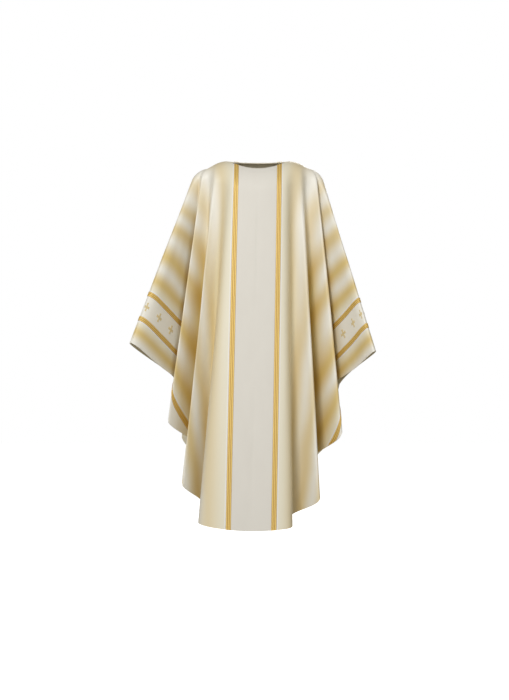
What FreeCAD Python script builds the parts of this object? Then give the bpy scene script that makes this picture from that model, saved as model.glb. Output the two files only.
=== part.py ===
"""Gothic chasuble in gold-shaded cloth, draped as it hangs from the shoulders.

Frame, in millimetres: the origin is the centre of the neck opening at the level of the shoulder tops, +Z is up,
the front faces -Y and +X is the wearer's left.

The garment is cut flat and hangs in folds.  A place on the flat cloth is (across, along): across from the centre
line, positive to the wearer's left, and along down from the shoulder line, negative on the back.  The hanging shape
is a set of straight fold lines that fan out from the shoulder line to the hem.
"""
import FreeCAD, Part
import math
import os

Vec = FreeCAD.Vector

doc = FreeCAD.newDocument("chasuble")

# ---------------------------------------------------------------- driving dimensions

DIMENSIONS = [
    ("half_width", 868),           # centre line to sleeve hem along the shoulder line, cloth laid flat
    ("front_length", 1322),        # shoulder line to the lowest front hem, cloth laid flat
    ("back_length", 1300),
    ("hem_power", 2.0),           # 2 makes the cut an ellipse, more would make it squarer
    ("neck_half_width", 104),
    ("neck_front_reach", 75),      # how far the neck opening comes forward, seen from above
    ("neck_back_reach", 27),
    ("shoulder_half_width", 170),  # where the sleeve folds fan out
    ("shoulder_drop", 26),
    ("cloth_thickness", 1.6),      # face cloth and interlining together
    ("trim_thickness", 1.2),
    ("layer_gap", 0.3),
    ("column_half_width", 75),     # centre line to the column seam
    ("galloon_width", 17),
    ("inner_braid_place", 680),    # centre line to the middle of each sleeve galloon, cloth laid flat
    ("outer_braid_place", 774),
    ("cross_size", 32),
    ("cross_bar", 8),
    ("cross_pitch", 84),
    ("crosses_each", 8),           # on each face of each sleeve
    ("left_cross_start", 0.5),     # shoulder line to the first front cross, as a share of the pitch
    ("right_cross_start", 0.15),
    ("facing_width", 42),
    ("hem_width", 34),
    ("seam_tape_width", 16),
]

sheet = doc.addObject("Spreadsheet::Sheet", "dimensions")
for row, (alias, value) in enumerate(DIMENSIONS, start=1):
    sheet.set(f"A{row}", alias)
    sheet.set(f"B{row}", str(value))
    sheet.setAlias(f"B{row}", alias)
doc.recompute()


def dim(alias):
    """One driving dimension, from the sheet."""
    return float(sheet.get(alias))


# ---------------------------------------------------------------- how the cloth hangs

# One row for each fold line, from the centre front to the centre back: its angle on the flat cloth, where it leaves
# the shoulder line, how far it rolls sideways and forward over the shoulder, and where its hem end hangs in plan.
LEFT_FOLDS = [
    (1.0, 54, 0, -108, 56, -160),
    (2.0, 84, 0, -102, 110, -158),     # edge of the flat front
    (3.8, 98, 0, -96, 124, -112),
    (7.0, 116, 0, -85, 98, -8),
    (10.2, 131, 0, -75, 146, -34),
    (13.4, 144, 0, -65, 220, -150),    # first front fold
    (17.0, 152, 0, -58, 202, -60),
    (23.5, 160, 5, -45, 132, 42),
    (29.5, 166, 14, -40, 205, 10),
    (34.0, 168, 28, -38, 296, -120),   # second front fold
    (38.5, 170, 28, -36, 284, -40),
    (46.5, 170, 25, -34, 184, 62),
    (55.0, 170, 30, -30, 214, 66),
    (65.0, 170, 32, -26, 288, -30),    # front face of the sleeve
    (74.0, 170, 36, -20, 342, -120),
    (81.5, 170, 39, -14, 368, -172),
    (87.0, 170, 41, -5, 388, -206),    # top of the sleeve, over the arm
    (93.0, 170, 41, 5, 402, -188),
    (98.5, 170, 39, 14, 382, -145),
    (107.0, 170, 36, 22, 334, -62),
    (116.0, 170, 32, 32, 298, 45),
    (124.0, 170, 30, 38, 278, 140),
    (130.0, 168, 26, 44, 292, 262),    # third back fold
    (135.0, 165, 20, 50, 244, 178),
    (140.5, 162, 14, 56, 194, 104),
    (146.0, 158, 8, 62, 214, 172),
    (150.5, 152, 4, 68, 274, 306),     # second back fold
    (154.5, 144, 0, 74, 216, 200),
    (159.0, 134, 0, 80, 136, 78),
    (163.5, 124, 0, 85, 130, 130),
    (168.0, 114, 0, 90, 188, 300),     # first back fold
    (172.0, 104, 0, 94, 146, 232),
    (175.8, 88, 0, 98, 112, 156),
    (179.2, 50, 0, 100, 50, 172),
]
RIGHT_FOLDS = [
    (1.4, 56, 0, -108, 112, -156),
    (2.8, 76, 0, -104, 172, -158),     # edge of the flat front
    (5.2, 86, 0, -98, 222, -128),
    (9.5, 112, 0, -85, 158, 2),
    (14.5, 134, 0, -75, 200, -30),
    (18.0, 144, 0, -65, 270, -150),    # first front fold
    (22.0, 150, 0, -58, 248, -55),
    (28.5, 158, 5, -45, 172, 36),
    (34.0, 164, 10, -40, 226, 14),
    (39.0, 168, 18, -38, 320, -112),   # second front fold
    (43.5, 170, 20, -36, 298, -45),
    (50.5, 170, 25, -34, 208, 56),
    (57.5, 170, 30, -30, 222, 75),
    (66.0, 170, 32, -26, 286, -36),    # front face of the sleeve
    (74.5, 170, 36, -20, 336, -132),
    (81.5, 170, 39, -14, 376, -204),
    (87.0, 170, 41, -5, 408, -250),    # top of the sleeve, over the arm
    (93.0, 170, 41, 5, 442, -246),
    (98.5, 170, 39, 14, 392, -178),
    (107.0, 170, 36, 22, 320, -66),
    (116.0, 170, 32, 32, 284, 50),
    (124.0, 170, 30, 38, 276, 145),
    (130.0, 168, 26, 44, 292, 264),    # third back fold
    (135.0, 165, 20, 50, 254, 182),
    (140.5, 162, 14, 56, 206, 106),
    (146.0, 158, 8, 62, 228, 172),
    (150.5, 152, 4, 68, 286, 302),     # second back fold
    (154.5, 144, 0, 74, 226, 198),
    (159.0, 134, 0, 80, 146, 78),
    (163.5, 124, 0, 85, 140, 130),
    (168.0, 114, 0, 90, 198, 296),     # first back fold
    (172.0, 104, 0, 94, 154, 230),
    (175.8, 88, 0, 98, 120, 156),
    (179.2, 50, 0, 100, 58, 172),
]
CENTRE_FRONT = (0.0, 0, 0, -112, -28, -158)
CENTRE_BACK = (180.0, 0, 0, 100, -4, 172)


def mirrored(fold):
    """The same fold on the wearer's right: its angle runs on past the centre back."""
    angle, start, roll_x, roll_y, hem_x, hem_y = fold
    return (360.0 - angle, -start, -roll_x, roll_y, -hem_x, hem_y)


FOLDS = [CENTRE_FRONT] + LEFT_FOLDS + [CENTRE_BACK] + [mirrored(fold) for fold in reversed(RIGHT_FOLDS)]
LEFT_ARM = 17.5                                   # the fold numbers of the sleeve tops and centre lines
BACK = len(LEFT_FOLDS) + 1.0
RIGHT_ARM = len(FOLDS) - LEFT_ARM
ROUND = float(len(FOLDS))

HALF_WIDTH = dim("half_width")
FRONT_LENGTH = dim("front_length")
BACK_LENGTH = dim("back_length")
HEM_POWER = dim("hem_power")
NECK_HALF_WIDTH = dim("neck_half_width")
SHOULDER_HALF_WIDTH = dim("shoulder_half_width")
SHOULDER_DROP = dim("shoulder_drop")
CLOTH = dim("cloth_thickness")
TRIM = dim("trim_thickness")
GAP = dim("layer_gap")
QUARTER = math.pi / 2


def fold_at(number):
    """The fold row at any number, whole or not: a smooth closed cubic curve with the rows as its control points."""
    first = math.floor(number)
    f = number - first
    weights = ((1 - f) ** 3 / 6, (3 * f ** 3 - 6 * f * f + 4) / 6, (-3 * f ** 3 + 3 * f * f + 3 * f + 1) / 6,
               f ** 3 / 6)
    values = [0.0] * 6
    for step, weight in enumerate(weights):
        turns, index = divmod(first - 1 + step, len(FOLDS))
        for column, value in enumerate(FOLDS[index]):
            values[column] += weight * (value + (360.0 * turns if column == 0 else 0.0))
    return values


def hem_share(across, along):
    """Under 1 inside the flat cut, 1 on its hem."""
    length = FRONT_LENGTH if along > 0 else BACK_LENGTH
    return (abs(across) / HALF_WIDTH) ** HEM_POWER + (abs(along) / length) ** HEM_POWER


def reach(start, angle):
    """Flat length from the shoulder line to the hem, along a fold line."""
    low, high = 0.0, 2 * FRONT_LENGTH
    for _ in range(40):
        middle = (low + high) / 2
        if hem_share(start + middle * math.sin(angle), middle * math.cos(angle)) > 1:
            high = middle
        else:
            low = middle
    return low


def hem_along(across, face=1):
    """How far down the hem is at that place across, on the front (face 1) or back (face -1)."""
    length = FRONT_LENGTH if face > 0 else BACK_LENGTH
    return face * length * max(0.0, 1 - (abs(across) / HALF_WIDTH) ** HEM_POWER) ** (1 / HEM_POWER)


class FoldLine:
    """One straight line of the hanging cloth: a quarter turn over the shoulder, then straight to the hem."""

    def __init__(self, number):
        angle, self.start, self.roll_x, self.roll_y, hem_x, hem_y = fold_at(number)
        self.angle = math.radians(angle)
        self.radius = math.hypot(self.roll_x, self.roll_y)
        self.length = reach(self.start, self.angle)
        straight = self.length - QUARTER * self.radius
        fall = straight + self.radius
        for _ in range(6):
            self.out = (hem_x - self.start - self.roll_x) / fall
            self.back = (hem_y - self.roll_y) / fall
            self.slant = math.sqrt(1 + self.out ** 2 + self.back ** 2)
            fall = self.radius + straight / self.slant

    def flat(self, distance):
        return (self.start + distance * math.sin(self.angle), distance * math.cos(self.angle))

    def hanging(self, distance):
        turn = distance / self.radius
        if turn < QUARTER:
            swing = math.sin(turn)
            fall = self.radius * (1 - math.cos(turn))
        else:
            swing = 1.0
            fall = self.radius + (distance - QUARTER * self.radius) / self.slant
        slope = max(0.0, abs(self.start) - NECK_HALF_WIDTH) / (SHOULDER_HALF_WIDTH - NECK_HALF_WIDTH)
        return Vec(self.start + self.roll_x * swing + self.out * fall,
                   self.roll_y * swing + self.back * fall,
                   -SHOULDER_DROP * slope ** 2 - fall)


def quarter_of(across, along):
    """First and last fold number of the quarter of the garment that holds a flat place."""
    if across >= 0:
        return (-0.6, LEFT_ARM) if along > 0 else (LEFT_ARM, BACK + 0.6)
    return (RIGHT_ARM, ROUND + 0.6) if along > 0 else (BACK - 0.6, RIGHT_ARM)


def line_through(across, along):
    """Number of the fold line that passes through a flat place, and the distance down it."""
    low, high = quarter_of(across, along)
    for _ in range(34):
        middle = (low + high) / 2
        angle, start = fold_at(middle)[:2]
        angle = math.radians(angle)
        if math.sin(angle) * along > math.cos(angle) * (across - start):
            high = middle
        else:
            low = middle
    return low, math.hypot(across - fold_at(low)[1], along)


def draped(across, along, lift=0.0):
    """Where a flat place hangs, lifted off the middle of the cloth, outwards if positive."""
    number, distance = line_through(across, along)
    place = FoldLine(number).hanging(distance)
    if lift == 0.0:
        return place
    return place + outward(number, distance) * lift


def outward(number, distance):
    """The cloth's outward direction."""
    near, far = FoldLine(number - 0.02), FoldLine(number + 0.02)
    down = FoldLine(number).hanging(distance + 1.0) - FoldLine(number).hanging(max(distance - 1.0, 0.0))
    around = far.hanging(distance) - near.hanging(distance)
    return down.cross(around).normalize()


# ---------------------------------------------------------------- sheets as thin solids

def spline_skin(poles, across_knots, down_knots, across_degree=3):
    """Face of a B-spline surface.  Each knots value is a pair: the knots and how often each counts."""
    surface = Part.BSplineSurface()
    surface.buildFromPolesMultsKnots(poles, across_knots[1], down_knots[1], across_knots[0], down_knots[0],
                                     False, False, across_degree, 3)
    return surface.toShape()


def pole_parameters(knots):
    """The parameter that each pole of a cubic spline stands for."""
    row = [knot for knot, times in zip(*knots) for _ in range(times)]
    return [sum(row[index + 1:index + 4]) / 3 for index in range(len(row) - 4)]


def thin_solid(places, lift, thickness):
    """Solid of a draped piece: places is a grid of flat places, lift the height of its underside.

    The underside passes through the grid.  The upper skin has the same knots and its poles moved outwards, so the
    four edges are exact ruled strips between the two.
    """
    surface = Part.BSplineSurface()
    surface.interpolate([[draped(across, along, lift) for across, along in line] for line in places])
    u_knots = (surface.getUKnots(), surface.getUMultiplicities())
    v_knots = (surface.getVKnots(), surface.getVMultiplicities())
    under = surface.getPoles()
    middle_u, middle_v = len(places) // 2, len(places[0]) // 2
    number, distance = line_through(*places[middle_u][middle_v])
    u_list, v_list = pole_parameters(u_knots), pole_parameters(v_knots)
    facing = surface.normal(u_list[len(u_list) // 2], v_list[len(v_list) // 2]).dot(outward(number, distance))
    step = math.copysign(thickness, facing)
    upper = [[pole + surface.normal(u, v) * step for pole, v in zip(line, v_list)] for line, u in zip(under, u_list)]
    ends = ([0.0, 1.0], [2, 2])
    faces = [spline_skin(under, u_knots, v_knots), spline_skin(upper, u_knots, v_knots)]
    for index in (0, -1):
        faces.append(spline_skin([under[index], upper[index]], ends, v_knots, 1))
        edge = [[line[index] for line in skin] for skin in (under, upper)]
        faces.append(spline_skin(edge, ends, u_knots, 1))
    skin = Part.Compound(faces)
    skin.sewShape(0.001)
    solid = Part.Solid(skin.Shells[0])
    if solid.Volume < 0:
        solid.reverse()
    return solid


def spread(low, high, count, power=1.0):
    """Evenly spaced values, or crowded towards low where power is over 1."""
    return [low + (high - low) * (step / count) ** power for step in range(count + 1)]


def between(top, hem, share):
    return (top[0] + (hem[0] - top[0]) * share, top[1] + (hem[1] - top[1]) * share)


def feature(label, shape):
    """A document object that holds a draped solid."""
    node = doc.addObject("Part::Feature", label)
    node.Label = label
    node.Shape = shape
    node.Placement = FreeCAD.Placement()
    return node


def cut_at_neck(label, shape):
    """A draped piece with the neck opening cut out of it."""
    cut = doc.addObject("Part::Cut", label)
    cut.Base = feature(label + "_uncut", shape)
    cut.Tool = neck_cutter
    cut.Label = label
    return cut


NECK_ROOM = 60.0           # the cutter reaches this far above and below the neck edge
EDGE = 0.5                 # keeps the panel grids just off the shoulder line
SLEEVE_HEAD = 250.0        # the grid lines of a side panel start between the column seam and here


def make_neck_cutter():
    """Upright prism whose plan is the neck opening: half an ellipse in front and a shallower one behind."""
    side = dim("neck_half_width")
    arcs = []
    for face, depth in ((-1, dim("neck_front_reach")), (1, dim("neck_back_reach"))):
        ellipse = Part.Ellipse(Vec(0, 0, -NECK_ROOM), side, depth)
        arcs.append(Part.ArcOfEllipse(ellipse, math.pi, 2 * math.pi).toShape() if face < 0
                    else Part.ArcOfEllipse(ellipse, 0, math.pi).toShape())
    outline = feature("neck_outline", Part.Face(Part.Wire(arcs)))
    cutter = doc.addObject("Part::Extrusion", "neck_cutter")
    cutter.Base = outline
    cutter.DirMode = "Custom"
    cutter.Dir = Vec(0, 0, 1)
    cutter.LengthFwd = 2 * NECK_ROOM
    cutter.Solid = True
    return cutter


neck_cutter = make_neck_cutter()


# ---------------------------------------------------------------- panels

def centre_panel(label, face):
    """The plain column down the front (face 1) or back (face -1)."""
    half = dim("column_half_width") - GAP / 2
    places = [[(across, face * EDGE + (hem_along(across, face) - face * EDGE) * share)
               for share in spread(0, 1, 16, 1.5)] for across in spread(-half, half, 14)]
    return cut_at_neck(label, thin_solid(places, -CLOTH / 2, CLOTH))


def side_panel(label, side, face):
    """One shaded half of the front or back, from the column seam to the top of the sleeve."""
    arm = LEFT_ARM if side > 0 else RIGHT_ARM
    centre = {(1, 1): 0.0, (1, -1): BACK, (-1, 1): ROUND, (-1, -1): BACK}[(side, face)]
    seam = dim("column_half_width") + GAP / 2
    count = int(5 * abs(arm - centre))
    first = (side * seam, hem_along(seam, face))
    columns = [((side * seam, face * EDGE), first)]
    for number in spread(centre + math.copysign(1.4, arm - centre), arm, count)[:-1]:
        line = FoldLine(number)
        progress = (number - centre) / (arm - centre)
        columns.append(((side * (seam + (SLEEVE_HEAD - seam) * progress), face * EDGE), line.flat(line.length)))
    columns.append(((side * SLEEVE_HEAD, face * EDGE), (side * HALF_WIDTH, face * EDGE)))
    places = [[between(top, hem, share) for share in spread(0, 1, 16, 1.3)] for top, hem in columns]
    return cut_at_neck(label, thin_solid(places, -CLOTH / 2, CLOTH))


# ---------------------------------------------------------------- braids, crosses, facings and tapes

def column_galloon(label, side, face):
    """Braid over a column seam, from the neck to the hem."""
    middle = dim("column_half_width")
    half = dim("galloon_width") / 2
    places = [[(side * across, face * EDGE + (hem_along(across, face) - face * EDGE) * share)
               for share in spread(0, 1, 20, 1.5)] for across in spread(middle - half, middle + half, 3)]
    return cut_at_neck(label, thin_solid(places, CLOTH / 2 + GAP, TRIM))


def sleeve_galloon(label, side, middle):
    """Braid across the sleeve, from the front hem over the arm to the back hem."""
    half = dim("galloon_width") / 2
    places = []
    for across in spread(middle - half, middle + half, 3):
        front, back = hem_along(across, 1), hem_along(across, -1)
        places.append([(side * across, along) for along in spread(front, back, 64)])
    return feature(label, thin_solid(places, CLOTH / 2 + GAP, TRIM))


def make_cross_piece():
    """One plain equal-armed cross, lying flat."""
    body = doc.addObject("PartDesign::Body", "cross_piece")
    sketch = body.newObject("Sketcher::SketchObject", "cross_outline")
    plane = [item for item in body.Origin.OriginFeatures if item.Role == "XY_Plane"][0]
    sketch.AttachmentSupport = [(plane, "")]
    sketch.MapMode = "FlatFace"
    arm, bar = dim("cross_size") / 2, dim("cross_bar") / 2
    corners = [(bar, arm), (bar, bar), (arm, bar), (arm, -bar), (bar, -bar), (bar, -arm),
               (-bar, -arm), (-bar, -bar), (-arm, -bar), (-arm, bar), (-bar, bar), (-bar, arm)]
    for first, second in zip(corners, corners[1:] + corners[:1]):
        sketch.addGeometry(Part.LineSegment(Vec(*first, 0), Vec(*second, 0)), False)
    pad = body.newObject("PartDesign::Pad", "cross_pad")
    pad.Profile = sketch
    pad.setExpression("Length", "dimensions.trim_thickness")
    doc.recompute()
    return body


def crosses(label, side, face, piece):
    """A row of crosses between the two sleeve braids, each flat on the cloth."""
    across = side * (dim("inner_braid_place") + dim("outer_braid_place")) / 2
    pitch = dim("cross_pitch")
    start = dim("left_cross_start" if side > 0 else "right_cross_start")
    if face < 0:
        start = 1 - start
    solids = []
    for index in range(int(dim("crosses_each"))):
        along = face * pitch * (index + start)
        number, distance = line_through(across, along)
        up = outward(number, distance)
        beside = draped(across + 1.0, along) - draped(across - 1.0, along)
        beside = (beside - up * beside.dot(up)).normalize()
        ahead = up.cross(beside)
        turn = FreeCAD.Rotation(beside, ahead, up, "ZXY")
        solid = piece.Shape.copy()
        solid.Placement = FreeCAD.Placement(draped(across, along, CLOTH / 2 + 2 * GAP), turn)
        solids.append(solid)
    return feature(label, Part.Compound(solids))


def neck_facing(label, face):
    """Facing inside the neck edge, from shoulder seam to shoulder seam."""
    side = dim("neck_half_width")
    depth = dim("neck_front_reach") if face > 0 else dim("neck_back_reach")
    width = dim("facing_width")
    places = []
    for turn in spread(0.02, math.pi - 0.02, 28):
        line = []
        for out in spread(-2 * GAP, width, 5):
            line.append(((side + out) * math.cos(turn), face * (depth * 1.09 + out) * math.sin(turn)))
        places.append(line)
    return cut_at_neck(label, thin_solid(places, -CLOTH / 2 - GAP - TRIM, TRIM))


def seam_tape(label, side):
    """Tape inside the shoulder seam, from the neck facing to the sleeve hem."""
    half = dim("seam_tape_width") / 2
    start = dim("neck_half_width") + dim("facing_width") + 2
    stop = HALF_WIDTH - dim("hem_width") - 2
    places = [[(side * across, along) for along in spread(-half, half, 4)] for across in spread(start, stop, 40)]
    return feature(label, thin_solid(places, -CLOTH / 2 - GAP - TRIM, TRIM))


def hem_facing(label, face):
    """Turned-up strip inside the hem, from one sleeve top round to the other."""
    width = dim("hem_width")
    low, high = (RIGHT_ARM - ROUND, LEFT_ARM) if face > 0 else (LEFT_ARM, RIGHT_ARM)
    places = []
    for number in spread(low + 0.02, high - 0.02, 5 * int(high - low)):
        line = FoldLine(number)
        places.append([line.flat(line.length - inward) for inward in spread(0.5, width, 4)])
    return feature(label, thin_solid(places, -CLOTH / 2 - GAP - TRIM, TRIM))


SIDES = {"left": 1, "right": -1}
FACES = {"front": 1, "back": -1}

nodes = []
for face_name, face in FACES.items():
    nodes.append(centre_panel(f"{face_name}_centre_panel", face))
    nodes.append(neck_facing(f"{face_name}_neck_facing", face))
    nodes.append(hem_facing(f"{face_name}_hem_facing", face))
    for side_name, side in SIDES.items():
        nodes.append(side_panel(f"{face_name}_{side_name}_panel", side, face))
        nodes.append(column_galloon(f"{face_name}_{side_name}_galloon", side, face))

cross_piece = make_cross_piece()
for side_name, side in SIDES.items():
    nodes.append(sleeve_galloon(f"{side_name}_sleeve_inner_galloon", side, dim("inner_braid_place")))
    nodes.append(sleeve_galloon(f"{side_name}_sleeve_outer_galloon", side, dim("outer_braid_place")))
    nodes.append(seam_tape(f"{side_name}_seam_tape", side))
    for face_name, face in FACES.items():
        nodes.append(crosses(f"{face_name}_{side_name}_crosses", side, face, cross_piece))

# ---------------------------------------------------------------- check and write

doc.recompute()
for item in doc.Objects:
    if "Invalid" in item.State or "Error" in item.State:
        raise RuntimeError(f"{item.Label} failed: {item.State}")

os.makedirs("parts", exist_ok=True)
for node in nodes:
    shape = node.Shape
    if shape.isNull() or not shape.isValid() or shape.Volume <= 0:
        raise RuntimeError(f"{node.Label} is not a sound solid")
    box = shape.BoundBox
    print(f"{node.Label:28s} {len(shape.Solids):2d} solids {shape.Volume / 1000:9.1f} cm3 "
          f"x {box.XMin:7.1f} {box.XMax:7.1f}  y {box.YMin:7.1f} {box.YMax:7.1f}  z {box.ZMin:7.1f} {box.ZMax:7.1f}")
    shape.exportStep(f"parts/{node.Label}.step")
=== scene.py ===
"""The looks of the chasuble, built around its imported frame.  Metres, +Z up, front -Y, +X the wearer's left.

The cloth is worked out as a flat cut that hangs in fold lines, as in the part's own source, at a much finer
pitch and with the small ripples, ribs and stitches that the frame leaves out.  A place on the flat cloth is
(across, along): across from the centre line and along down from the shoulder line, negative on the back.
"""
import math
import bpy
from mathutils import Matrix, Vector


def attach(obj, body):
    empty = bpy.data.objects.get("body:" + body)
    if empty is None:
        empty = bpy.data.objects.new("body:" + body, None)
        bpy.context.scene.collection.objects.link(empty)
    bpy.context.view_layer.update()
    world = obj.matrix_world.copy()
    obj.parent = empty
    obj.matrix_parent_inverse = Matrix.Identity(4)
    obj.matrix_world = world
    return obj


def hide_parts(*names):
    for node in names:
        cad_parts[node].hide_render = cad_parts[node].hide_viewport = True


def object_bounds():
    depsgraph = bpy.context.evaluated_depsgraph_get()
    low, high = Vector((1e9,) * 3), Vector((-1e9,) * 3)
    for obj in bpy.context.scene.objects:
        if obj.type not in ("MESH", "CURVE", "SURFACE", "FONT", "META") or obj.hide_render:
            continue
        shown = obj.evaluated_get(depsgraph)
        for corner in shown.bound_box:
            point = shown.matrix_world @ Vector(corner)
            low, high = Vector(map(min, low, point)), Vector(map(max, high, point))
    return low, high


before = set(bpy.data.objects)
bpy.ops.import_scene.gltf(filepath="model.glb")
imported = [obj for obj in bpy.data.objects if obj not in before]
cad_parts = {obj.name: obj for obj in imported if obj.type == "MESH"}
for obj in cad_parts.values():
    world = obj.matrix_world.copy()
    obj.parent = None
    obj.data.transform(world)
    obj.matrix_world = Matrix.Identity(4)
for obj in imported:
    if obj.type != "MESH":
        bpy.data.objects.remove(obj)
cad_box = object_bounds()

from types import SimpleNamespace

import bpy
import numpy as np
from mathutils import Vector

MM = 0.001
QUARTER = math.pi / 2

# ---------------------------------------------------------------- the cut

HALF_WIDTH = 868 * MM              # centre line to sleeve hem along the shoulder line, cloth laid flat
FRONT_LENGTH = 1322 * MM
BACK_LENGTH = 1300 * MM
HEM_POWER = 2.0
NECK_HALF_WIDTH = 104 * MM
NECK_REACH = {1: 75 * MM, -1: 27 * MM}     # how far the neck opening comes forward and goes back, from above
SHOULDER_HALF_WIDTH = 170 * MM
SHOULDER_DROP = 26 * MM
CLOTH = 1.6 * MM
TRIM = 1.2 * MM
GAP = 0.3 * MM
COLUMN_HALF_WIDTH = 75 * MM
GALLOON_WIDTH = 17 * MM
BRAID_CORDS = 3
BRAID_DIP = 0.35 * TRIM            # a braid's thickness between two of its cords
INNER_BRAID = 680 * MM
OUTER_BRAID = 774 * MM
CROSS_SIZE = 32 * MM
CROSS_BAR = 8 * MM
CROSS_FLARE = 0.4                  # how much wider the arms end than they start, as a share
CROSS_PITCH = 84 * MM
CROSSES_EACH = 8
CROSS_START = {1: 0.5, -1: 0.15}     # shoulder line to the first front cross, as a share of the pitch
FACING_WIDTH = 42 * MM
HEM_WIDTH = 34 * MM
SEAM_TAPE_WIDTH = 16 * MM
SLEEVE_HEAD = 250 * MM
EDGE = 0.5 * MM                    # keeps the grids just off the shoulder line

# ---------------------------------------------------------------- how the cloth hangs

# One row for each fold line, from the centre front to the centre back: its angle on the flat cloth in degrees,
# then in millimetres where it leaves the shoulder line, how far it rolls sideways and back over the shoulder
# (forward is negative), and where its hem end hangs in plan.
LEFT_FOLDS = [
    (1.0, 54, 0, -108, 56, -160),
    (2.0, 84, 0, -102, 110, -158),     # edge of the flat front
    (3.8, 98, 0, -96, 124, -112),
    (7.0, 116, 0, -85, 98, -8),
    (10.2, 131, 0, -75, 146, -34),
    (13.4, 144, 0, -65, 220, -150),    # first front fold
    (17.0, 152, 0, -58, 202, -60),
    (23.5, 160, 5, -45, 132, 42),
    (29.5, 166, 14, -40, 205, 10),
    (34.0, 168, 28, -38, 296, -120),   # second front fold
    (38.5, 170, 28, -36, 284, -40),
    (46.5, 170, 25, -34, 184, 62),
    (55.0, 170, 30, -30, 214, 66),
    (65.0, 170, 32, -26, 288, -30),    # front face of the sleeve
    (74.0, 170, 36, -20, 342, -120),
    (81.5, 170, 39, -14, 368, -172),
    (87.0, 170, 41, -5, 388, -206),    # top of the sleeve, over the arm
    (93.0, 170, 41, 5, 402, -188),
    (98.5, 170, 39, 14, 382, -145),
    (107.0, 170, 36, 22, 334, -62),
    (116.0, 170, 32, 32, 298, 45),
    (124.0, 170, 30, 38, 278, 140),
    (130.0, 168, 26, 44, 292, 262),    # third back fold
    (135.0, 165, 20, 50, 244, 178),
    (140.5, 162, 14, 56, 194, 104),
    (146.0, 158, 8, 62, 214, 172),
    (150.5, 152, 4, 68, 274, 306),     # second back fold
    (154.5, 144, 0, 74, 216, 200),
    (159.0, 134, 0, 80, 136, 78),
    (163.5, 124, 0, 85, 130, 130),
    (168.0, 114, 0, 90, 188, 300),     # first back fold
    (172.0, 104, 0, 94, 146, 232),
    (175.8, 88, 0, 98, 112, 156),
    (179.2, 50, 0, 100, 50, 172),
]
RIGHT_FOLDS = [
    (1.4, 56, 0, -108, 112, -156),
    (2.8, 76, 0, -104, 172, -158),     # edge of the flat front
    (5.2, 86, 0, -98, 222, -128),
    (9.5, 112, 0, -85, 158, 2),
    (14.5, 134, 0, -75, 200, -30),
    (18.0, 144, 0, -65, 270, -150),    # first front fold
    (22.0, 150, 0, -58, 248, -55),
    (28.5, 158, 5, -45, 172, 36),
    (34.0, 164, 10, -40, 226, 14),
    (39.0, 168, 18, -38, 320, -112),   # second front fold
    (43.5, 170, 20, -36, 298, -45),
    (50.5, 170, 25, -34, 208, 56),
    (57.5, 170, 30, -30, 222, 75),
    (66.0, 170, 32, -26, 286, -36),    # front face of the sleeve
    (74.5, 170, 36, -20, 336, -132),
    (81.5, 170, 39, -14, 376, -204),
    (87.0, 170, 41, -5, 408, -250),    # top of the sleeve, over the arm
    (93.0, 170, 41, 5, 442, -246),
    (98.5, 170, 39, 14, 392, -178),
    (107.0, 170, 36, 22, 320, -66),
    (116.0, 170, 32, 32, 284, 50),
    (124.0, 170, 30, 38, 276, 145),
    (130.0, 168, 26, 44, 292, 264),    # third back fold
    (135.0, 165, 20, 50, 254, 182),
    (140.5, 162, 14, 56, 206, 106),
    (146.0, 158, 8, 62, 228, 172),
    (150.5, 152, 4, 68, 286, 302),     # second back fold
    (154.5, 144, 0, 74, 226, 198),
    (159.0, 134, 0, 80, 146, 78),
    (163.5, 124, 0, 85, 140, 130),
    (168.0, 114, 0, 90, 198, 296),     # first back fold
    (172.0, 104, 0, 94, 154, 230),
    (175.8, 88, 0, 98, 120, 156),
    (179.2, 50, 0, 100, 58, 172),
]
CENTRE_FRONT = (0.0, 0, 0, -112, -28, -158)
CENTRE_BACK = (180.0, 0, 0, 100, -4, 172)


def mirrored(fold):
    """The same fold on the wearer's right: its angle runs on past the centre back."""
    angle, start, roll_x, roll_y, hem_x, hem_y = fold
    return (360.0 - angle, -start, -roll_x, roll_y, -hem_x, hem_y)


FOLDS = [CENTRE_FRONT] + LEFT_FOLDS + [CENTRE_BACK] + [mirrored(fold) for fold in reversed(RIGHT_FOLDS)]
LEFT_ARM = 17.5                                   # the fold numbers of the sleeve tops and centre lines
BACK = len(LEFT_FOLDS) + 1.0
RIGHT_ARM = len(FOLDS) - LEFT_ARM
ROUND = float(len(FOLDS))
FOLD_ROWS = np.array(FOLDS, float)
FOLD_ROWS[:, 1:] *= MM


def fold_at(number):
    """The fold rows at any numbers, whole or not: a smooth closed cubic curve controlled by the rows."""
    number = np.asarray(number, float)
    first = np.floor(number).astype(int)
    values = np.zeros(number.shape + (6,))
    for step, weight in enumerate(bumps(number - first)):
        turns, index = np.divmod(first - 1 + step, len(FOLDS))
        rows = FOLD_ROWS[index]
        rows[..., 0] += 360.0 * turns
        values += weight[..., None] * rows
    return values


def hem_share(across, along):
    """Under 1 inside the flat cut, 1 on its hem."""
    length = np.where(along > 0, FRONT_LENGTH, BACK_LENGTH)
    return (np.abs(across) / HALF_WIDTH) ** HEM_POWER + (np.abs(along) / length) ** HEM_POWER


def halved(low, high, beyond, rounds):
    """Where beyond turns true between low and high, by halving."""
    low, high = np.broadcast_arrays(np.asarray(low, float), np.asarray(high, float))
    for _ in range(rounds):
        middle = (low + high) / 2
        over = beyond(middle)
        low, high = np.where(over, low, middle), np.where(over, middle, high)
    return low


def reach(start, angle):
    """Flat length from the shoulder line to the hem, along a fold line."""
    return halved(0 * start, 2 * FRONT_LENGTH,
                  lambda r: hem_share(start + r * np.sin(angle), r * np.cos(angle)) > 1, 40)


def hem_along(across, face):
    """How far down the hem is at that place across, on the front (face 1) or back (face -1)."""
    length = FRONT_LENGTH if face > 0 else BACK_LENGTH
    return face * length * np.maximum(0.0, 1 - (np.abs(across) / HALF_WIDTH) ** HEM_POWER) ** (1 / HEM_POWER)


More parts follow.
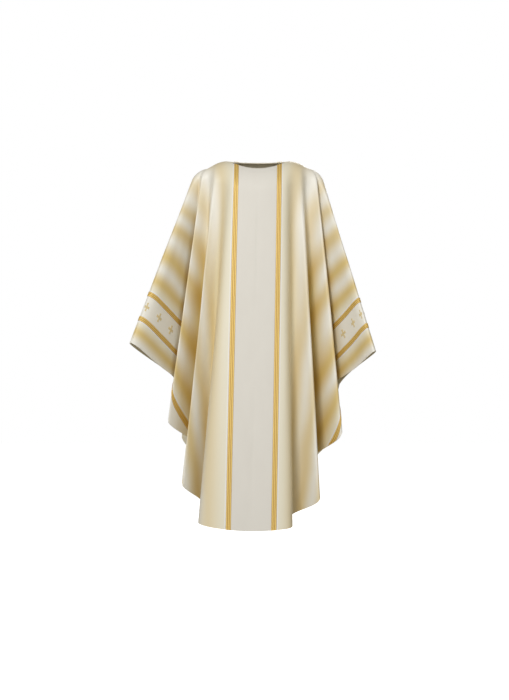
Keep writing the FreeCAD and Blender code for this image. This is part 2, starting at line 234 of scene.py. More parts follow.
def fold_lines(number):
    """The straight lines of the hanging cloth: a quarter turn over the shoulder, then straight to the hem."""
    degrees, start, roll_x, roll_y, hem_x, hem_y = np.moveaxis(fold_at(number), -1, 0)
    angle = np.radians(degrees)
    radius = np.hypot(roll_x, roll_y)
    length = reach(start, angle)
    straight = length - QUARTER * radius
    fall = straight + radius
    for _ in range(6):
        out = (hem_x - start - roll_x) / fall
        back = (hem_y - roll_y) / fall
        slant = np.sqrt(1 + out ** 2 + back ** 2)
        fall = radius + straight / slant
    return SimpleNamespace(angle=angle, start=start, roll_x=roll_x, roll_y=roll_y, radius=radius,
                           length=length, out=out, back=back, slant=slant)


def on_lines(line, distance):
    """Where the smooth cloth hangs, that far down each fold line."""
    turn = distance / line.radius
    rolled = turn < QUARTER
    swing = np.where(rolled, np.sin(np.minimum(turn, QUARTER)), 1.0)
    fall = np.where(rolled, line.radius * (1 - np.cos(np.minimum(turn, QUARTER))),
                    line.radius + (distance - QUARTER * line.radius) / line.slant)
    slope = np.maximum(0.0, np.abs(line.start) - NECK_HALF_WIDTH) / (SHOULDER_HALF_WIDTH - NECK_HALF_WIDTH)
    return np.stack([line.start + line.roll_x * swing + line.out * fall,
                     line.roll_y * swing + line.back * fall,
                     -SHOULDER_DROP * slope ** 2 - fall], axis=-1)


def unit(vectors):
    return vectors / np.linalg.norm(vectors, axis=-1, keepdims=True)


def outward(number, distance):
    """The cloth's outward direction."""
    line = fold_lines(number)
    down = on_lines(line, distance + MM) - on_lines(line, np.maximum(distance - MM, 0.0))
    around = on_lines(fold_lines(number + 0.02), distance) - on_lines(fold_lines(number - 0.02), distance)
    return unit(np.cross(down, around))


def line_through(across, along):
    """Number of the fold line that passes through each flat place, and the distance down it."""
    left, front = across >= 0, along > 0
    low = np.where(left, np.where(front, -0.6, LEFT_ARM), np.where(front, RIGHT_ARM, BACK - 0.6))
    high = np.where(left, np.where(front, LEFT_ARM, BACK + 0.6), np.where(front, ROUND + 0.6, RIGHT_ARM))

    def beyond(number):
        row = fold_at(number)
        angle = np.radians(row[..., 0])
        return np.sin(angle) * along > np.cos(angle) * (across - row[..., 1])

    number = halved(low, high, beyond, 34)
    return number, np.hypot(across - fold_at(number)[..., 1], along)


# ---------------------------------------------------------------- ripples: the small unevenness of real cloth

LATTICE = 32


def soft_noise(u, v, seed):
    """Smooth noise about 0, mostly within 1, one bump to each unit of u and v."""
    table = np.random.default_rng(seed).uniform(-1.8, 1.8, (LATTICE, LATTICE))
    u0, v0 = np.floor(u).astype(int), np.floor(v).astype(int)
    total = 0.0
    for i, weight_u in enumerate(bumps(u - u0)):
        for j, weight_v in enumerate(bumps(v - v0)):
            total = total + weight_u * weight_v * table[(u0 + i) % LATTICE, (v0 + j) % LATTICE]
    return total


def bumps(f):
    """Weights of the four nearest lattice points, a share f past the second."""
    return ((1 - f) ** 3 / 6, (3 * f ** 3 - 6 * f * f + 4) / 6,
            (-3 * f ** 3 + 3 * f * f + 3 * f + 1) / 6, f ** 3 / 6)


def rise(value, low, high):
    """0 up to low, 1 from high on, smooth between."""
    t = np.clip((value - low) / (high - low), 0.0, 1.0)
    return t * t * (3 - 2 * t)


def ripple(across, along, number, distance):
    """How far the cloth stands off its smooth shape."""
    free = rise(distance, 60 * MM, 320 * MM)
    long_waves = 2.2 * MM * soft_noise(number * 0.8, distance / 0.34, 3)
    short_waves = 0.7 * MM * soft_noise(number * 2.1, distance / 0.13, 5)
    beside_seam = np.exp(-np.abs(np.abs(across) - COLUMN_HALF_WIDTH) / (14 * MM))
    puckers = 0.25 * MM * beside_seam * soft_noise(along / (22 * MM), 4 * np.sign(across), 7)
    return free * (long_waves + short_waves) + puckers


def hung(across, along, number, distance, lift):
    """Where flat places on known fold lines hang, lifted off the middle of the cloth, outwards if positive."""
    height = ripple(across, along, number, distance) + lift
    return on_lines(fold_lines(number), distance) + outward(number, distance) * np.asarray(height)[..., None]


def draped(across, along, lift):
    """Where any flat places hang, lifted in the same way."""
    number, distance = line_through(across, along)
    return hung(across, along, number, distance, lift)


# ---------------------------------------------------------------- meshes

def painted_shade_depth(along, number, distance):
    """0 on the outermost cloth of the folds and 1 at the bottom of the valleys between them; the materials paint
    shade by it.
    """
    row = fold_at(number)
    hem_y = row[..., 5]
    behind = 1 - rise(np.abs(row[..., 0] - 180), 48, 54)            # the sleeves have no folds at the back
    depth = np.where(along > 0, rise(hem_y, -85 * MM, 40 * MM), behind * rise(-hem_y, -200 * MM, -80 * MM))
    return depth * rise(distance, 120 * MM, 480 * MM)


def new_mesh(name, vertices, faces, flat, materials, material_of=None, depth=None):
    """A piece on the root body, its flat places and depth in the folds, the mask of the painted fold shade,
    stored for its materials to read.
    """
    mesh = bpy.data.meshes.new(name)
    mesh.from_pydata(vertices.tolist(), [], faces)
    stored = mesh.attributes.new("flat", "FLOAT_VECTOR", "POINT")
    stored.data.foreach_set("vector", np.ascontiguousarray(flat, np.float32).ravel())
    # depth in the folds, read by the materials to paint shade
    if depth is not None:
        stored = mesh.attributes.new("painted_shade_depth", "FLOAT", "POINT")
        stored.data.foreach_set("value", np.ascontiguousarray(depth, np.float32).ravel())
    for material in materials:
        mesh.materials.append(material)
    if material_of is not None:
        mesh.polygons.foreach_set("material_index", material_of)
    mesh.shade_smooth()
    mesh.set_sharp_from_angle(angle=math.radians(70))
    mesh.update()
    piece = bpy.data.objects.new(name, mesh)
    bpy.context.scene.collection.objects.link(piece)
    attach(piece, "root")
    return piece


def grid_faces(index):
    """Four-sided faces between the neighbours of a grid of vertex numbers."""
    corners = [index[:-1, :-1], index[1:, :-1], index[1:, 1:], index[:-1, 1:]]
    return np.stack(corners, axis=-1).reshape(-1, 4)


def thin_cloth(name, across, along, under, upper, materials):
    """A closed thin piece from a grid of flat places: under and upper are the heights of its two skins."""
    rows, columns = across.shape
    number, distance = line_through(across, along)
    skins = [hung(across, along, number, distance, height) for height in (upper, under)]
    # depth in the folds, the mask for the painted fold shade
    depth = painted_shade_depth(along, number, distance)
    flat = np.stack([across, along, np.zeros_like(across)], axis=-1).reshape(-1, 3)
    index = np.arange(rows * columns).reshape(rows, columns)
    quads = grid_faces(index)
    first = quads[len(quads) // 2]
    corners = skins[0].reshape(-1, 3)[first]
    facing = np.cross(corners[1] - corners[0], corners[2] - corners[0])
    if np.dot(facing, corners[0] - skins[1].reshape(-1, 3)[first[0]]) < 0:
        quads = quads[:, ::-1]
    rim = np.concatenate([index[0, :-1], index[:-1, -1], index[-1, :0:-1], index[:0:-1, 0]])
    ring = np.roll(rim, -1)
    if quads[0][0] != index[0, 0] or quads[0][1] != index[1, 0]:
        rim, ring = ring, rim
    offset = rows * columns
    sides = np.stack([rim, ring, ring + offset, rim + offset], axis=-1)
    faces = quads.tolist() + (quads[:, ::-1] + offset).tolist() + sides.tolist()
    material_of = None
    if len(materials) > 1:
        material_of = [0] * len(quads) + [1] * len(quads) + [0] * len(sides)
    vertices = np.concatenate([skin.reshape(-1, 3) for skin in skins])
    return new_mesh(name, vertices, faces, np.concatenate([flat, flat]), materials, material_of,
                    np.stack([depth, depth]))


def neck_share(across, along):
    """Under 1 inside the neck opening, seen from above."""
    place = on_lines(*split(across, along))
    depth = np.where(along > 0, NECK_REACH[1], NECK_REACH[-1])
    return (place[..., 0] / NECK_HALF_WIDTH) ** 2 + (place[..., 1] / depth) ** 2


def split(across, along):
    """The fold lines through flat places, and the distances down them."""
    number, distance = line_through(across, along)
    return fold_lines(number), distance


def neck_along(across, face):
    """How far down the neck edge is at that place across."""
    across = np.asarray(across, float)
    return face * halved(0 * across + MM / 2, 0.3, lambda r: neck_share(across, face * r) > 1, 26)


def neck_ring(turn, face):
    """Flat places of the neck edge, turn running from 0 at the wearer's left to pi at the right."""
    turn = np.asarray(turn, float)
    depth = NECK_REACH[face]
    across, along = NECK_HALF_WIDTH * np.cos(turn), face * depth * np.sin(turn)
    grown = halved(0 * turn + 0.6, 2.0, lambda r: neck_share(r * across, r * along) > 1, 26)
    return grown * across, grown * along


def blend(first, second, share):
    return first + (second - first) * share


def centre_panel(name, face, materials):
    half = COLUMN_HALF_WIDTH - GAP / 2
    across = np.linspace(-half, half, 41)[:, None]
    share = np.linspace(0, 1, 201)[None, :] ** 1.3
    along = blend(neck_along(across, face), hem_along(across, face), share)
    return thin_cloth(name, across + 0 * along, along, -CLOTH / 2, CLOTH / 2, materials)


SEAM_TURN = math.acos(COLUMN_HALF_WIDTH / NECK_HALF_WIDTH)
ROUND_NECK = 0.3                   # share of a side panel's grid lines that start on the neck edge


def panel_top(side, face, progress):
    """Upper edge of a side panel: round the neck from the column seam, then out along the shoulder seam."""
    turn = np.clip(1 - progress / ROUND_NECK, 0.004, 1) * SEAM_TURN
    across, along = neck_ring(turn, face)
    out = np.clip((progress - ROUND_NECK) / (1 - ROUND_NECK), 0, 1)
    across = np.where(out > 0, blend(NECK_HALF_WIDTH, SLEEVE_HEAD, out), across)
    along = np.where(out > 0, face * EDGE, along)
    return side * across, along


def panel_hem(side, face, progress):
    """Hem end of each grid line of a side panel."""
    arm = LEFT_ARM if side > 0 else RIGHT_ARM
    centre = {(1, 1): 0.0, (1, -1): BACK, (-1, 1): ROUND, (-1, -1): BACK}[(side, face)]
    seam = COLUMN_HALF_WIDTH + GAP / 2
    first = centre + math.copysign(1.4, arm - centre)
    line = fold_lines(blend(first, arm, progress))
    across = line.start + line.length * np.sin(line.angle)
    along = line.length * np.cos(line.angle)
    across = np.where(progress <= 0, side * seam, np.where(progress >= 1, side * HALF_WIDTH, across))
    along = np.where(progress <= 0, hem_along(seam, face), np.where(progress >= 1, face * EDGE, along))
    return across, along


def side_panel(name, side, face, materials):
    """One shaded half of the front or back, from the column seam to the top of the sleeve."""
    progress = np.linspace(0, 1, 281)[:, None]
    share = np.linspace(0, 1, 181)[None, :] ** 1.15
    top, hem = panel_top(side, face, progress), panel_hem(side, face, progress)
    across, along = blend(top[0], hem[0], share), blend(top[1], hem[1], share)
    return thin_cloth(name, across, along, -CLOTH / 2, CLOTH / 2, materials)


# ---------------------------------------------------------------- braids, crosses, facings and tapes

def ribbed_braid(name, side, spread, across, along, materials):
    """A braid of round cords side by side on the outside of a panel, spread running from 0 to 1 across it."""
    cords = np.abs(np.sin(math.pi * BRAID_CORDS * spread)) ** 0.6
    base = CLOTH / 2 + GAP
    upper = base + blend(BRAID_DIP, TRIM, cords)
    return thin_cloth(name, side * across + 0 * along, along, base + 0 * along, upper + 0 * along, materials)


def column_galloon(name, side, face, materials):
    """Braid over a column seam, from the neck to the hem."""
    spread = np.linspace(0, 1, 31)[:, None]
    across = COLUMN_HALF_WIDTH + GALLOON_WIDTH * (spread - 0.5)
    share = np.linspace(0, 1, 301)[None, :]
    along = blend(neck_along(side * across, face), hem_along(across, face), share)
    return ribbed_braid(name, side, spread, across, along, materials)


def sleeve_galloon(name, side, middle, materials):
    """Braid across the sleeve, from the front hem over the arm to the back hem."""
    spread = np.linspace(0, 1, 31)[:, None]
    across = middle + GALLOON_WIDTH * (spread - 0.5)
    share = np.linspace(0, 1, 501)[None, :]
    along = blend(hem_along(across, 1), hem_along(across, -1), share)
    return ribbed_braid(name, side, spread, across, along, materials)


def crosses(name, side, face, materials):
    """A row of satin-stitched crosses between the two sleeve braids."""
    middle_across = side * (INNER_BRAID + OUTER_BRAID) / 2
    arm, bar = CROSS_SIZE / 2, CROSS_BAR / 2
    steps = np.linspace(-1, 1, 9)
    vertices, faces, flat = [], [], []

    def patch(across, along, height):
        """A little raised patch of stitches with nothing underneath: its outer rim lies on the cloth."""
        rows, columns = across.shape
        start = sum(len(part) for part in vertices)
        index = start + np.arange(rows * columns).reshape(rows, columns)
        quads = grid_faces(index)
        vertices.append(draped(across, along, CLOTH / 2 + height).reshape(-1, 3))
        places = [across - middle_across, along - centre, np.zeros_like(across)]
        flat.append(np.stack(places, axis=-1).reshape(-1, 3))
        faces.extend((quads if side * face > 0 else quads[:, ::-1]).tolist())

    first = CROSS_START[side] if face > 0 else 1 - CROSS_START[side]
    for step in range(CROSSES_EACH):
        # patch() measures its flat places from this centre
        centre = face * CROSS_PITCH * (step + first)
        a, b = np.meshgrid(steps, steps, indexing="ij")
        patch(middle_across + bar * a, centre + bar * b, TRIM * (1 - np.abs(a * b) ** 4))
        out, wide = np.meshgrid(np.linspace(0, 1, 13), steps, indexing="ij")
        reach_out = blend(bar, arm, out)
        half = bar * (1 + CROSS_FLARE * out ** 3) * wide
        height = TRIM * (1 - np.abs(wide) ** 4) * (1 - out ** 8)
        patch(middle_across + reach_out, centre + half, height)
        patch(middle_across - reach_out, centre - half, height)
        patch(middle_across - half, centre + reach_out, height)
        patch(middle_across + half, centre - reach_out, height)
    return new_mesh(name, np.concatenate(vertices), faces, np.concatenate(flat), materials)


def inner_strip(name, across, along, materials):
    """A strip of facing cloth that lies against the inside of the panels."""
    return thin_cloth(name, across, along, -CLOTH / 2 - GAP - TRIM, -CLOTH / 2 - GAP, materials)


def neck_facing(name, face, materials):
    turn = np.linspace(0.02, math.pi - 0.02, 121)[:, None]
    across, along = neck_ring(turn, face)
    straight_out = [np.cos(turn) * NECK_REACH[face], face * np.sin(turn) * NECK_HALF_WIDTH]
    outwards = unit(np.stack(straight_out, axis=-1))
    width = np.linspace(EDGE, FACING_WIDTH, 9)[None, :]
    return inner_strip(name, across + outwards[..., 0] * width, along + outwards[..., 1] * width, materials)


def seam_tape(name, side, materials):
    start = NECK_HALF_WIDTH + FACING_WIDTH + 2 * MM
    stop = HALF_WIDTH - HEM_WIDTH - 2 * MM
    across = np.linspace(start, stop, 161)[:, None]
    along = np.linspace(-SEAM_TAPE_WIDTH / 2, SEAM_TAPE_WIDTH / 2, 6)[None, :]
    return inner_strip(name, side * across + 0 * along, along + 0 * across, materials)


def hem_facing(name, face, materials):
    low, high = (RIGHT_ARM - ROUND, LEFT_ARM) if face > 0 else (LEFT_ARM, RIGHT_ARM)
    line = fold_lines(np.linspace(low + 0.02, high - 0.02, 561)[:, None])
    distance = line.length - np.linspace(EDGE, HEM_WIDTH, 7)[None, :]
    across = line.start + distance * np.sin(line.angle)
    return inner_strip(name, across, distance * np.cos(line.angle), materials)


# ---------------------------------------------------------------- materials

def srgb(red, green, blue):
    """A colour given as it shows on a screen, 0 to 255."""
    return tuple((c / 255) ** 2.2 for c in (red, green, blue)) + (1.0,)


WHITE = srgb(238, 236, 228)
PALE = srgb(234, 229, 210)
SOFT_GOLD = srgb(218, 194, 132)
PAINTED_FOLD_SHADE = srgb(222, 198, 112)          # painted shade: multiplies the colours at the bottom of a fold
CREAM = srgb(221, 217, 209)
COLUMN_EDGE = srgb(240, 240, 238)
BRAID_GOLD = srgb(244, 216, 128)
BRAID_DARK = srgb(176, 118, 42)
CROSS_GOLD = srgb(226, 208, 160)
CROSS_SHADE = srgb(196, 170, 112)
LINING = srgb(224, 210, 172)

# Middle of each gold stripe, in metres from the centre line, and how gold it is.
GOLD_STRIPES = [(0.143, 0.6), (0.256, 0.55), (0.345, 0.7), (0.425, 0.85), (0.535, 1.0), (0.626, 1.0)]
STRIPE_WANDER = 50 * MM   # how far the stripes stray from their places, from one extreme to the other
WHITE_LINE = 5 * MM       # plain line beside each braid
HEM_GOLD = 0.822          # last gold stripe, between the outer braid and the hem


class Paint:
    """A material and short ways to add nodes to it."""

    def __init__(self, name):
        self.material = bpy.data.materials.new(name)
        self.material.use_nodes = True
        self.tree = self.material.node_tree
        self.shader = self.tree.nodes["Principled BSDF"]
        self.flat = self.stored("flat").outputs["Vector"]
        split_up = self.add("ShaderNodeSeparateXYZ")
        self.link(self.flat, split_up.inputs[0])
        self.across, self.along = split_up.outputs[0], split_up.outputs[1]

    def add(self, kind):
        return self.tree.nodes.new(kind)

    def stored(self, name):
        """An attribute of the mesh."""
        node = self.add("ShaderNodeAttribute")
        node.attribute_name = name
        return node

    def link(self, source, socket):
        self.tree.links.new(source, socket)

    def put(self, source, socket):
        """Sets a socket to a number or colour, or links it."""
        if isinstance(source, (int, float, tuple)):
            socket.default_value = source
        else:
            self.link(source, socket)

    def math(self, operation, first, second=0.0):
        node = self.add("ShaderNodeMath")
        node.operation = operation
        self.put(first, node.inputs[0])
        self.put(second, node.inputs[1])
        return node.outputs[0]

    def mix(self, factor, first, second, blend_type="MIX"):
        node = self.add("ShaderNodeMix")
        node.data_type = "RGBA"
        node.blend_type = blend_type
        self.put(factor, node.inputs["Factor"])
        self.put(first, node.inputs[6])
        self.put(second, node.inputs[7])
        return node.outputs[2]

    def ramp(self, value, stops):
        """Colours that ease from one stop, a place and its colour, to the next."""
        node = self.add("ShaderNodeValToRGB")
        node.color_ramp.interpolation = "EASE"
        elements = node.color_ramp.elements
        elements[0].position, elements[0].color = stops[0]
        elements[1].position, elements[1].color = stops[-1]
        for position, colour in stops[1:-1]:
            elements.new(position).color = colour
        self.put(value, node.inputs[0])
        return node.outputs[0]

    def noise(self, scale, stretch=(1.0, 1.0, 1.0), detail=2.0):
        """Noise on the flat cloth, scale in bumps to the metre, stretched by those factors."""
        mapping = self.add("ShaderNodeMapping")
        mapping.inputs["Scale"].default_value = [scale / s for s in stretch]
        self.link(self.flat, mapping.inputs["Vector"])
        node = self.add("ShaderNodeTexNoise")
        node.inputs["Scale"].default_value = 1.0
        node.inputs["Detail"].default_value = detail
        self.link(mapping.outputs[0], node.inputs["Vector"])
        return node.outputs["Fac"]

    def threads(self, place, pitch):
        """Rounded threads side by side: 0 between two of them and 1 on top."""
        turns = self.math("MULTIPLY", place, math.pi / pitch)
        return self.math("ABSOLUTE", self.math("SINE", turns))

    def bump(self, height, distance, strength):
        node = self.add("ShaderNodeBump")
        node.inputs["Distance"].default_value = distance
        node.inputs["Strength"].default_value = strength
        self.put(height, node.inputs["Height"])
        return node.outputs[0]

    def surface(self, colour, roughness, normal=None, metallic=0.0, sheen=0.0, sheen_tint=None, specular=0.5):
        self.put(colour, self.shader.inputs["Base Color"])
        self.put(roughness, self.shader.inputs["Roughness"])
        self.shader.inputs["Metallic"].default_value = metallic
        self.shader.inputs["Sheen Weight"].default_value = sheen
        self.shader.inputs["Sheen Roughness"].default_value = 0.45
        if sheen_tint is not None:
            self.shader.inputs["Sheen Tint"].default_value = sheen_tint
        self.shader.inputs["Specular IOR Level"].default_value = specular
        if normal is not None:
            self.link(normal, self.shader.inputs["Normal"])
        return self.material


def satin_weave(paint):
    """Bump of the satin: fine steep twill lines with slubs along the warp."""
    steep = paint.math("ADD", paint.across, paint.math("MULTIPLY", paint.along, 0.35))
    twill = paint.threads(steep, 1.1 * MM)
    filling = paint.threads(paint.along, 0.9 * MM)
    slubs = paint.noise(260, (1.0, 14.0, 1.0), 1.0)
    height = paint.math("ADD", paint.math("MULTIPLY", twill, 0.6), paint.math("MULTIPLY", filling, 0.25))
    return paint.math("ADD", height, slubs)


def stripe_stops():
    """The shading across the cloth, from the centre line to the sleeve hem, as places and colours."""
    half = GALLOON_WIDTH / 2
    line_end = COLUMN_HALF_WIDTH + half + WHITE_LINE
    stops = [(0.0, COLUMN_EDGE), (line_end - MM, COLUMN_EDGE), (line_end, PALE)]
    for number, (middle, strength) in enumerate(GOLD_STRIPES):
        gold = tuple(blend(plain, full, strength) for plain, full in zip(WHITE, SOFT_GOLD))
        stops.append((middle, gold))
        if number + 1 < len(GOLD_STRIPES):
            stops.append(((middle + GOLD_STRIPES[number + 1][0]) / 2, WHITE))
    inner_line = INNER_BRAID - half - WHITE_LINE
    outer_line = OUTER_BRAID + half + WHITE_LINE
    stops += [(inner_line - 2 * MM, PALE), (inner_line, COLUMN_EDGE), (INNER_BRAID, WHITE), (OUTER_BRAID, WHITE),
              (outer_line, COLUMN_EDGE), (outer_line + 2 * MM, PALE), (HEM_GOLD, SOFT_GOLD),
              (HALF_WIDTH - 8 * MM, WHITE), (1.0, WHITE)]
    return stops


def shaded_cloth():
    """White satin shaded into soft gold stripes, white between the sleeve braids, with painted shade of a deeper
    gold at the bottom of the folds.
    """
    paint = Paint("shaded_cloth")
    place = paint.math("ABSOLUTE", paint.across)
    wander = paint.math("SUBTRACT", paint.noise(5.0, (1.0, 1.6, 1.0)), 0.5)
    wander = paint.math("MULTIPLY", wander, STRIPE_WANDER)
    wander = paint.math("MULTIPLY", wander, paint.math("GREATER_THAN", place, GOLD_STRIPES[0][0]))
    wander = paint.math("MULTIPLY", wander, paint.math("LESS_THAN", place, GOLD_STRIPES[-1][0]))
    stripes = paint.ramp(paint.math("ADD", place, wander), stripe_stops())
    streaks = paint.noise(900, (1.0, 60.0, 1.0), 1.0)
    tint = paint.mix(paint.math("MULTIPLY", streaks, 0.10), stripes, SOFT_GOLD)
    # painted shade: the colour is multiplied down to a darker gold by depth in the folds
    depth = paint.stored("painted_shade_depth").outputs["Fac"]
    tint = paint.mix(depth, tint, PAINTED_FOLD_SHADE, "MULTIPLY")
    height = satin_weave(paint)
    normal = paint.bump(height, 0.12 * MM, 0.6)
    roughness = paint.math("ADD", paint.math("MULTIPLY", streaks, 0.10), 0.38)
    return paint.surface(tint, roughness, normal, sheen=0.08, sheen_tint=srgb(255, 236, 190))


def lining_cloth(name, colour):
    """The wrong side of the satin, and the facings: duller, goldener, plainly woven."""
    paint = Paint(name)
    warp = paint.threads(paint.across, 1.0 * MM)
    filling = paint.threads(paint.along, 1.0 * MM)
    height = paint.math("ADD", warp, filling)
    mottle = paint.noise(40, (1.0, 6.0, 1.0))
    tint = paint.mix(paint.math("MULTIPLY", mottle, 0.35), colour, PALE)
    return paint.surface(tint, 0.72, paint.bump(height, 0.10 * MM, 0.5), sheen=0.15)


def column_cloth():
    """Cream rep with fine upright ribs."""
    paint = Paint("column_cloth")
    rep = paint.threads(paint.across, 1.3 * MM)
    filling = paint.threads(paint.along, 0.7 * MM)
    slubs = paint.noise(180, (1.0, 20.0, 1.0), 1.0)
    height = paint.math("ADD", paint.math("ADD", rep, paint.math("MULTIPLY", filling, 0.3)), slubs)
    tone = paint.noise(24, (1.0, 3.0, 1.0), 3.0)
    tint = paint.mix(paint.math("MULTIPLY", tone, 0.3), CREAM, WHITE)
    roughness = paint.math("ADD", paint.math("MULTIPLY", slubs, 0.12), 0.60)
    return paint.surface(tint, roughness, paint.bump(height, 0.12 * MM, 0.6), sheen=0.12)


def gold_braid(name, middle):
    """Metal-thread braid, its middle that far from the centre line: bright cords with darker thread between,
    painted highlight on the tops of the cords and wound turns, painted shade in the dips between them and at the
    bottom of the folds.
    """
    paint = Paint(name)
    place = paint.math("ABSOLUTE", paint.across)
    beside = paint.math("SUBTRACT", place, middle - GALLOON_WIDTH / 2)
    cords = paint.threads(beside, GALLOON_WIDTH / BRAID_CORDS)
    wound = paint.threads(paint.math("ADD", paint.along, paint.math("MULTIPLY", paint.across, 0.8)), 1.4 * MM)
    fine = paint.noise(700, (1.0, 1.0, 1.0), 1.0)
    # painted highlight and shade: lighter on the tops of the cords and wound turns, darker in the dips between
    # them, partly darker thread between the cords
    bright = paint.math("MULTIPLY", cords, paint.math("ADD", paint.math("MULTIPLY", wound, 0.3), 0.7))
    tint = paint.mix(bright, BRAID_DARK, BRAID_GOLD)
    # painted shade: darker gold by depth in the folds
    tint = paint.mix(paint.stored("painted_shade_depth").outputs["Fac"], tint, PAINTED_FOLD_SHADE, "MULTIPLY")
    height = paint.math("ADD", wound, paint.math("MULTIPLY", fine, 0.4))
    roughness = paint.math("ADD", paint.math("MULTIPLY", fine, 0.2), 0.34)
    return paint.surface(tint, roughness, paint.bump(height, 0.15 * MM, 0.7), metallic=0.2, specular=0.5)


def cross_thread():
    """Matt gold satin stitch."""
    paint = Paint("cross_thread")
    stitches = paint.threads(paint.math("ADD", paint.across, paint.along), 0.8 * MM)
    fine = paint.noise(500, (1.0, 1.0, 1.0), 1.0)
    tint = paint.mix(paint.math("MULTIPLY", paint.math("ADD", stitches, fine), 0.6), CROSS_SHADE, CROSS_GOLD)
    return paint.surface(tint, 0.6, paint.bump(stitches, 0.15 * MM, 0.7), sheen=0.2)


# ---------------------------------------------------------------- the garment

def make_garment():
    shaded, column = shaded_cloth(), column_cloth()
    reverse = lining_cloth("cloth_reverse", LINING)
    facing = lining_cloth("facing_cloth", srgb(236, 226, 198))
    column_braid = gold_braid("gold_braid", COLUMN_HALF_WIDTH)
    thread = cross_thread()
    made = {}

    def keep(piece, node):
        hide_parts(node)
        made[node] = piece

    for face_name, face in (("front", 1), ("back", -1)):
        node = f"{face_name}_centre_panel"
        keep(centre_panel(node + "_cloth", face, [column, reverse]), node)
        node = f"{face_name}_neck_facing"
        keep(neck_facing(node + "_cloth", face, [facing]), node)
        node = f"{face_name}_hem_facing"
        keep(hem_facing(node + "_cloth", face, [facing]), node)
        for side_name, side in (("left", 1), ("right", -1)):
            node = f"{face_name}_{side_name}_panel"
            keep(side_panel(node + "_cloth", side, face, [shaded, reverse]), node)
            node = f"{face_name}_{side_name}_galloon"
            keep(column_galloon(node + "_braid", side, face, [column_braid]), node)
            node = f"{face_name}_{side_name}_crosses"
            keep(crosses(node + "_stitched", side, face, [thread]), node)
    for side_name, side in (("left", 1), ("right", -1)):
        node = f"{side_name}_seam_tape"
        keep(seam_tape(node + "_cloth", side, [facing]), node)
    for place_name, place in (("inner", INNER_BRAID), ("outer", OUTER_BRAID)):
        braid = gold_braid(f"gold_braid_{place_name}", place)
        for side_name, side in (("left", 1), ("right", -1)):
            node = f"{side_name}_sleeve_{place_name}_galloon"
            keep(sleeve_galloon(node + "_braid", side, place, [braid]), node)
    return made


# ---------------------------------------------------------------- cloth pieces, their trims and flat areas

def flat_area(piece):
    """Area on the flat cut of a piece's outer skin, in square metres, and its flat places."""
    mesh = piece.data
    places = np.zeros(len(mesh.vertices) * 3, np.float32)
    mesh.attributes["flat"].data.foreach_get("vector", places)
    places = places.reshape(-1, 3)[:, :2].astype(float)
    total = 0.0
    for polygon in mesh.polygons[:len(mesh.polygons) // 2]:
        corners = places[list(polygon.vertices)]
        following = np.roll(corners, -1, axis=0)
        total += abs(np.sum(corners[:, 0] * following[:, 1] - corners[:, 1] * following[:, 0])) / 2
    return total, places


def declare_sheets(made):
    """Gathers what is sewn flat on each panel, and measures the flat area of each panel and facing; neither is
    kept.
    """
    trims = {node: [] for node in made if node.endswith("_panel")}
    for face_name in ("front", "back"):
        for side_name in ("left", "right"):
            panel = f"{face_name}_{side_name}_panel"
            for trim in ("galloon", "crosses"):
                trims[panel].append(made[f"{face_name}_{side_name}_{trim}"])
    for side_name in ("left", "right"):
        front = trims[f"front_{side_name}_panel"]
        front.append(made[f"{side_name}_seam_tape"])
        for place_name in ("inner", "outer"):
            front.append(made[f"{side_name}_sleeve_{place_name}_galloon"])
    for node, piece in made.items():
        if not node.endswith(("_panel", "_facing")):
            continue
        area, places = flat_area(piece)


# ---------------------------------------------------------------- stage, light and camera

SCALE_PLANE = -0.08                     # the depth at which the picture's scale is set
PICTURE_HEIGHT = 2380 * MM              # height of the view there
CAMERA_AWAY = 10.0
FLOOR_BELOW_HEM = 0.16
FLOOR_SIZE = 28.0
ROOM_LIGHT = (0.345, 0.33, 0.295, 1.0)     # warm, as light is that has bounced between folds of gold cloth
VIEW_ACROSS, VIEW_UP = -11.9 * MM, -646 * MM


def stage_material(name, colour, glow):
    paint = Paint(name)
    mottle = paint.add("ShaderNodeTexNoise")
    mottle.inputs["Scale"].default_value = 3.0
    tint = paint.mix(paint.math("MULTIPLY", mottle.outputs["Fac"], 0.04), colour, srgb(240, 240, 240))
    paint.shader.inputs["Emission Color"].default_value = colour
    paint.shader.inputs["Emission Strength"].default_value = glow
    return paint.surface(tint, 0.9, specular=0.1)


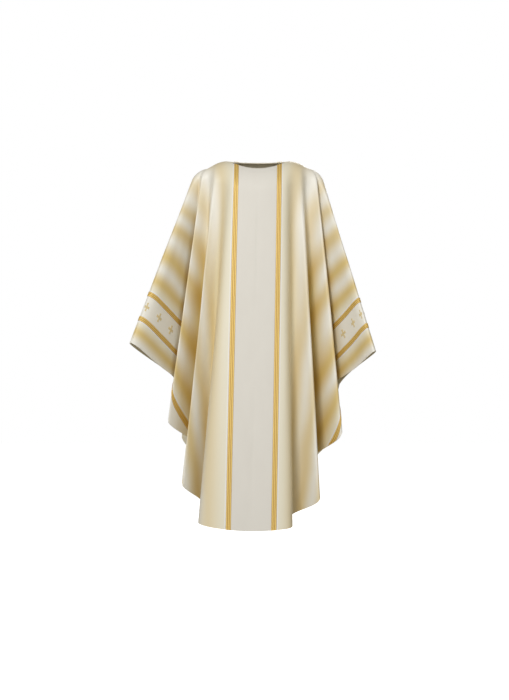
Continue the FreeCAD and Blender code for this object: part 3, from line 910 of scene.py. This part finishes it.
def make_stage():
    """A plain pale floor below the hem, that throws no light up at the cloth."""
    floor_height = cad_box[0].z - FLOOR_BELOW_HEM
    size = FLOOR_SIZE / 2
    mesh = bpy.data.meshes.new("floor")
    mesh.from_pydata([(-size, -size, floor_height), (size, -size, floor_height), (size, size, floor_height),
                      (-size, size, floor_height)], [], [(0, 1, 2, 3)])
    mesh.materials.append(stage_material("floor", srgb(252, 252, 252), 0.8))
    floor = bpy.data.objects.new("floor", mesh)
    bpy.context.scene.collection.objects.link(floor)
    floor.visible_diffuse = False
    floor.visible_glossy = False


def soft_light(name, place, size, power):
    """A round white area light that faces the middle of the garment."""
    light = bpy.data.lights.new(name, "AREA")
    light.shape = "DISK"
    light.size = size
    light.energy = power
    lamp = bpy.data.objects.new(name, light)
    lamp.location = place
    middle = (cad_box[0] + cad_box[1]) / 2
    lamp.rotation_euler = (Vector(place) - middle).to_track_quat("Z", "Y").to_euler()
    bpy.context.scene.collection.objects.link(lamp)


def make_light():
    """Soft light from the front, weaker from the side and below, and one from behind for the back.

    The surroundings show as white, but light the cloth by no more than ROOM_LIGHT.
    """
    world = bpy.data.worlds.new("studio")
    bpy.context.scene.world = world
    world.use_nodes = True
    tree = world.node_tree
    seen = tree.nodes.new("ShaderNodeLightPath").outputs["Is Camera Ray"]
    room = tree.nodes.new("ShaderNodeMix")
    room.data_type = "RGBA"
    room.inputs[6].default_value = ROOM_LIGHT
    room.inputs[7].default_value = (1.0, 1.0, 1.0, 1.0)
    tree.links.new(seen, room.inputs["Factor"])
    tree.links.new(room.outputs[2], tree.nodes["Background"].inputs["Color"])
    soft_light("front_softbox", (-1.1, -4.2, 1.3), 1.6, 124)
    soft_light("side_softbox", (2.8, -3.4, 0.2), 1.6, 14)
    soft_light("low_fill", (0.0, -2.2, -3.4), 2.6, 6)
    soft_light("back_softbox", (0.8, 4.2, 0.9), 2.2, 70)


def make_camera():
    camera = bpy.data.cameras.new("camera")
    camera.sensor_fit = "VERTICAL"
    camera.sensor_height = 24.0
    camera.lens = camera.sensor_height * CAMERA_AWAY / PICTURE_HEIGHT
    camera.clip_end = 60
    item = bpy.data.objects.new("camera", camera)
    item.location = (VIEW_ACROSS, SCALE_PLANE - CAMERA_AWAY, VIEW_UP)
    item.rotation_euler = (math.radians(90), 0, 0)
    bpy.context.scene.collection.objects.link(item)
    bpy.context.scene.camera = item
    bpy.context.scene.view_settings.view_transform = "Standard"


made = make_garment()
declare_sheets(made)
make_stage()
make_light()
make_camera()
